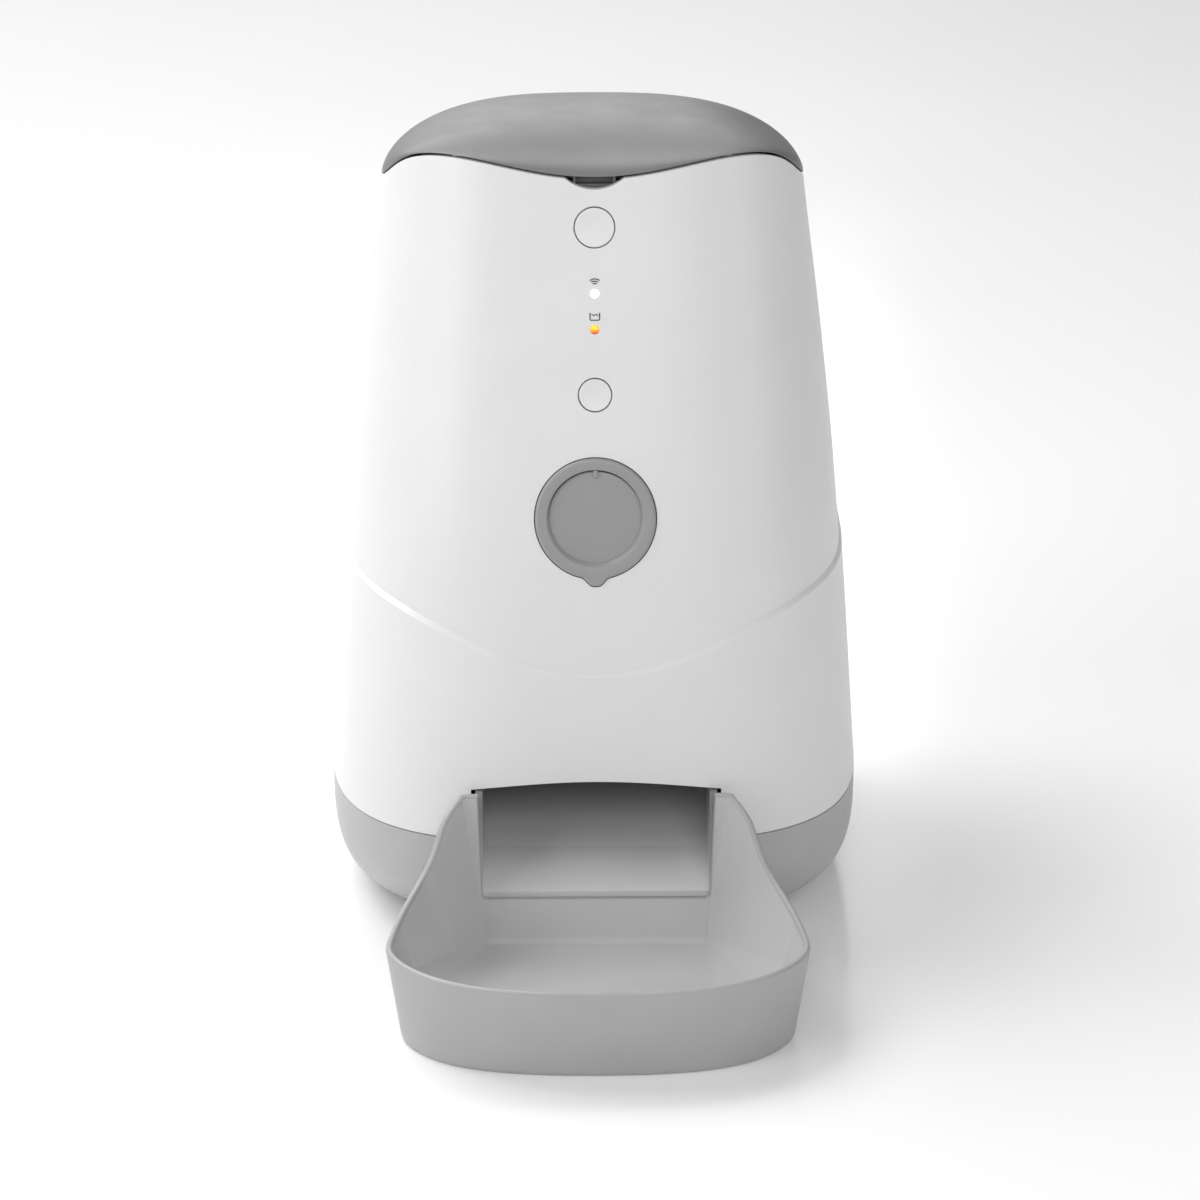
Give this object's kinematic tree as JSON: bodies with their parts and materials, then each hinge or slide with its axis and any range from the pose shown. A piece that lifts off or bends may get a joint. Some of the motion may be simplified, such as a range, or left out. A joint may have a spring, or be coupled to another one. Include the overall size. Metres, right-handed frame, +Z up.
{
  "type": "automatic pet feeder",
  "caption": "Free-standing automatic pet feeder: tapered shell with hinged domed lid, drum dispenser, front chute and removable bowl.",
  "frame": {"origin": "on the floor, under the middle of the bounding box", "axes": "+Z up, -Y towards the bowl at the front, +X to the right seen from the front"},
  "size_m": [0.192, 0.2956, 0.2829],
  "materials": {
    "white_shell": "smooth satin white",
    "lid_grey": "fine matte mid grey",
    "base_grey": "fine matte mid grey",
    "bowl_grey": "satin mid grey",
    "dark_plastic": "matte dark grey",
    "liner_plastic": "plain light grey moulding",
    "foot_rubber": "matte",
    "seal_rubber": "soft matte silicone",
    "steel": "plated",
    "contact_metal": "plated spring sheet",
    "circuit_board": "solder mask",
    "gear_plastic": "natural acetal",
    "battery_jacket": "plain printed sleeve",
    "white_lens": "translucent white",
    "amber_lens": "translucent amber"
  },
  "bodies": {
    "feeder_body": {"body_shell": "white_shell", "port_bezel": "lid_grey", "port_cap": "lid_grey", "base_housing": "base_grey", "chute": "bowl_grey", "wifi_switch": "dark_plastic", "feed_switch": "dark_plastic", "power_inlet": "dark_plastic", "level_emitter": "dark_plastic", "level_receiver": "dark_plastic", "index_switch": "dark_plastic", "hopper": "liner_plastic", "rotor_housing": "liner_plastic", "gear_cover": "liner_plastic", "foot_front_left": "foot_rubber", "foot_front_right": "foot_rubber", "foot_rear_left": "foot_rubber", "foot_rear_right": "foot_rubber", "hinge_pin": "steel", "latch_spring": "steel", "drive_motor": "steel", "radio_module": "steel", "base_screw_1": "steel", "base_screw_2": "steel", "base_screw_3": "steel", "base_screw_4": "steel", "contact_plate_left": "contact_metal", "contact_plate_right": "contact_metal", "key_board": "circuit_board", "main_board": "circuit_board", "battery_1": "battery_jacket", "battery_2": "battery_jacket", "battery_3": "battery_jacket", "wifi_lens": "white_lens", "wifi_led": "white_lens", "food_lens": "amber_lens", "food_led": "amber_lens"},
    "lid": {"lid": "lid_grey", "lid_liner": "liner_plastic", "lid_seal": "seal_rubber"},
    "desiccant": {"desiccant_box": "liner_plastic", "desiccant_cover": "liner_plastic"},
    "latch": {"lid_latch": "dark_plastic"},
    "wifi_key": {"wifi_button": "white_shell", "wifi_plunger": "dark_plastic"},
    "feed_key": {"feed_button": "white_shell", "feed_plunger": "dark_plastic"},
    "rotor": {"rotor": "base_grey", "rotor_gear": "gear_plastic", "index_cam": "gear_plastic"},
    "pinion": {"motor_pinion": "gear_plastic"},
    "bowl": {"bowl": "bowl_grey"},
    "battery_door": {"battery_door": "base_grey"}
  },
  "joints": [
    {"name": "lid_hinge", "type": "hinge", "parent": "feeder_body", "child": "lid", "pos_m": [0, 0.1352, 0.2487], "axis": [-1, 0, 0], "range_deg": [0, 95]},
    {"name": "cartridge_pull", "type": "slide", "parent": "lid", "child": "desiccant", "axis": [0, 0, -1], "range_m": [0, 0.02]},
    {"name": "latch_push", "type": "slide", "parent": "feeder_body", "child": "latch", "axis": [0, 1, 0], "range_m": [0, 0.0025], "stiffness_N_per_m": 300, "springref_m": -0.003, "deforming": ["latch_spring"]},
    {"name": "wifi_press", "type": "slide", "parent": "feeder_body", "child": "wifi_key", "axis": [0, 0.9547, -0.2974], "range_m": [0, 0.0008], "stiffness_N_per_m": 900, "springref_m": -0.0006},
    {"name": "feed_press", "type": "slide", "parent": "feeder_body", "child": "feed_key", "axis": [0, 0.9547, -0.2974], "range_m": [0, 0.0008], "stiffness_N_per_m": 900, "springref_m": -0.0006},
    {"name": "rotor_spin", "type": "hinge", "parent": "feeder_body", "child": "rotor", "pos_m": [0, 0.027, 0.098], "axis": [1, 0, 0], "continuous": true},
    {"name": "pinion_spin", "type": "hinge", "parent": "feeder_body", "child": "pinion", "pos_m": [0, 0.05325, 0.098], "axis": [1, 0, 0], "continuous": true},
    {"name": "bowl_pull", "type": "slide", "parent": "feeder_body", "child": "bowl", "axis": [0, -1, 0], "range_m": [0, 0.08]},
    {"name": "door_drop", "type": "slide", "parent": "feeder_body", "child": "battery_door", "axis": [0, 0, -1], "range_m": [0, 0.02]}
  ],
  "couplings": [
    {"joint": "pinion_spin", "follows": "rotor_spin", "ratio": -3.2}
  ]
}
